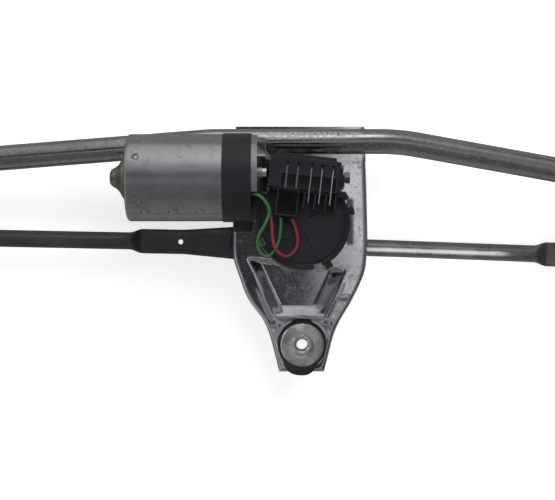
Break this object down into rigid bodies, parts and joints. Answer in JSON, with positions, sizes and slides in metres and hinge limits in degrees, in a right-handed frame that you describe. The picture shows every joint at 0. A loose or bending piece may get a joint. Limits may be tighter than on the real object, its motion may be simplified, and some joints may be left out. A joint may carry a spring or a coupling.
{
  "type": "windshield wiper linkage",
  "caption": "Bent tube frame with a geared electric motor, crank, push rods, levers and wiper spindles, held on rubber-bushed mounts.",
  "frame": {"origin": "centre of the tail mounting sleeve's bore, on the sleeve's lower seating face", "axes": "+X along the frame tube towards the right spindle, +Y from the tail mount towards the tube, +Z along the wiper spindles towards their threaded tips"},
  "size_m": [0.7763, 0.195, 0.1255],
  "materials": {
    "galvanised_steel": "satin, dull galvanised",
    "bright_zinc_steel": "bright zinc plate, scuffed",
    "black_painted_steel": "semi-gloss black paint",
    "cast_aluminium": "as cast, satin",
    "turned_steel": "turned, nickel grey",
    "polished_steel": "ground",
    "spring_steel": "oil black",
    "bronze": "sintered, oiled",
    "copper": "bare or enamelled copper",
    "ferrite": "matt",
    "laminated_iron": "varnished stack",
    "carbon": "matt",
    "black_plastic": "fine grain",
    "black_rubber": "matt",
    "nylon": "natural",
    "green_insulation": "satin",
    "red_insulation": "satin"
  },
  "bodies": {
    "frame": {"frame_tube": "galvanised_steel", "motor_bracket": "bright_zinc_steel", "tail_grommet": "black_rubber", "tail_sleeve": "turned_steel", "side_grommets": "black_rubber", "side_sleeves": "turned_steel", "left_pivot_housing": "cast_aluminium", "right_pivot_housing": "cast_aluminium", "spindle_bushes": "bronze", "spindle_seals": "black_rubber", "gear_housing": "cast_aluminium", "output_bush": "bronze", "motor_mount_bolts": "bright_zinc_steel", "gear_cover": "black_plastic", "cover_clips": "bright_zinc_steel", "terminal_strips": "bright_zinc_steel", "yoke": "galvanised_steel", "yoke_end_cap": "galvanised_steel", "field_magnets": "ferrite", "brush_holder": "black_plastic", "brushes": "carbon", "brush_springs": "spring_steel", "motor_band": "black_plastic", "yoke_screws": "bright_zinc_steel", "front_bearing": "polished_steel", "rear_bearing": "bronze", "thrust_screw": "bright_zinc_steel", "green_wire": "green_insulation", "red_wire": "red_insulation"},
    "armature": {"armature_shaft": "polished_steel", "armature_core": "laminated_iron", "armature_winding": "copper", "commutator": "copper"},
    "crank": {"worm_wheel": "nylon", "output_shaft": "polished_steel", "output_clip": "spring_steel", "output_washer": "nylon", "park_contact_disc": "copper", "crank_arm": "bright_zinc_steel", "crank_nut": "bright_zinc_steel", "crank_ball_stud": "polished_steel"},
    "left_wiper_shaft": {"left_spindle": "polished_steel", "left_lever": "bright_zinc_steel", "left_ball_stud": "polished_steel", "left_spindle_clip": "spring_steel", "left_thrust_washer": "nylon"},
    "right_wiper_shaft": {"right_spindle": "polished_steel", "right_lever": "bright_zinc_steel", "right_ball_stud": "polished_steel", "right_spindle_clip": "spring_steel", "right_thrust_washer": "nylon"},
    "left_drive_rod": {"left_rod": "black_painted_steel", "left_rod_crank_socket": "black_plastic", "left_rod_lever_socket": "black_plastic"},
    "right_drive_rod": {"right_rod": "bright_zinc_steel", "right_rod_crank_socket": "black_plastic", "right_rod_lever_socket": "black_plastic"}
  },
  "joints": [
    {"name": "crank_turn", "type": "hinge", "parent": "frame", "child": "crank", "pos_m": [0, 0.096, 0], "axis": [0, 0, 1], "range_deg": [0, 110]},
    {"name": "armature_spin", "type": "hinge", "parent": "frame", "child": "armature", "pos_m": [0, 0.131, 0.047], "axis": [1, 0, 0], "range_deg": [0, 6600]},
    {"name": "left_spindle_swing", "type": "hinge", "parent": "frame", "child": "left_wiper_shaft", "pos_m": [-0.3225, 0.1147, 0], "axis": [0, 0, 1], "range_deg": [0, 84.4]},
    {"name": "right_spindle_swing", "type": "hinge", "parent": "frame", "child": "right_wiper_shaft", "pos_m": [0.34085, 0.096, 0], "axis": [0, 0, 1], "range_deg": [0, 84.3]},
    {"name": "left_rod_pivot", "type": "hinge", "parent": "crank", "child": "left_drive_rod", "pos_m": [-0.0456, 0.081, -0.012], "axis": [0, 0, 1], "range_deg": [-109.1, 0]},
    {"name": "right_rod_pivot", "type": "hinge", "parent": "crank", "child": "right_drive_rod", "pos_m": [-0.0456, 0.081, -0.029], "axis": [0, 0, 1], "range_deg": [-110.95, 0]}
  ],
  "couplings": [
    {"joint": "armature_spin", "follows": "crank_turn", "ratio": 60},
    {"joint": "left_spindle_swing", "follows": "crank_turn", "ratio": 0.7668},
    {"joint": "right_spindle_swing", "follows": "crank_turn", "ratio": 0.766},
    {"joint": "left_rod_pivot", "follows": "crank_turn", "ratio": -0.9917},
    {"joint": "right_rod_pivot", "follows": "crank_turn", "ratio": -1.0082}
  ]
}
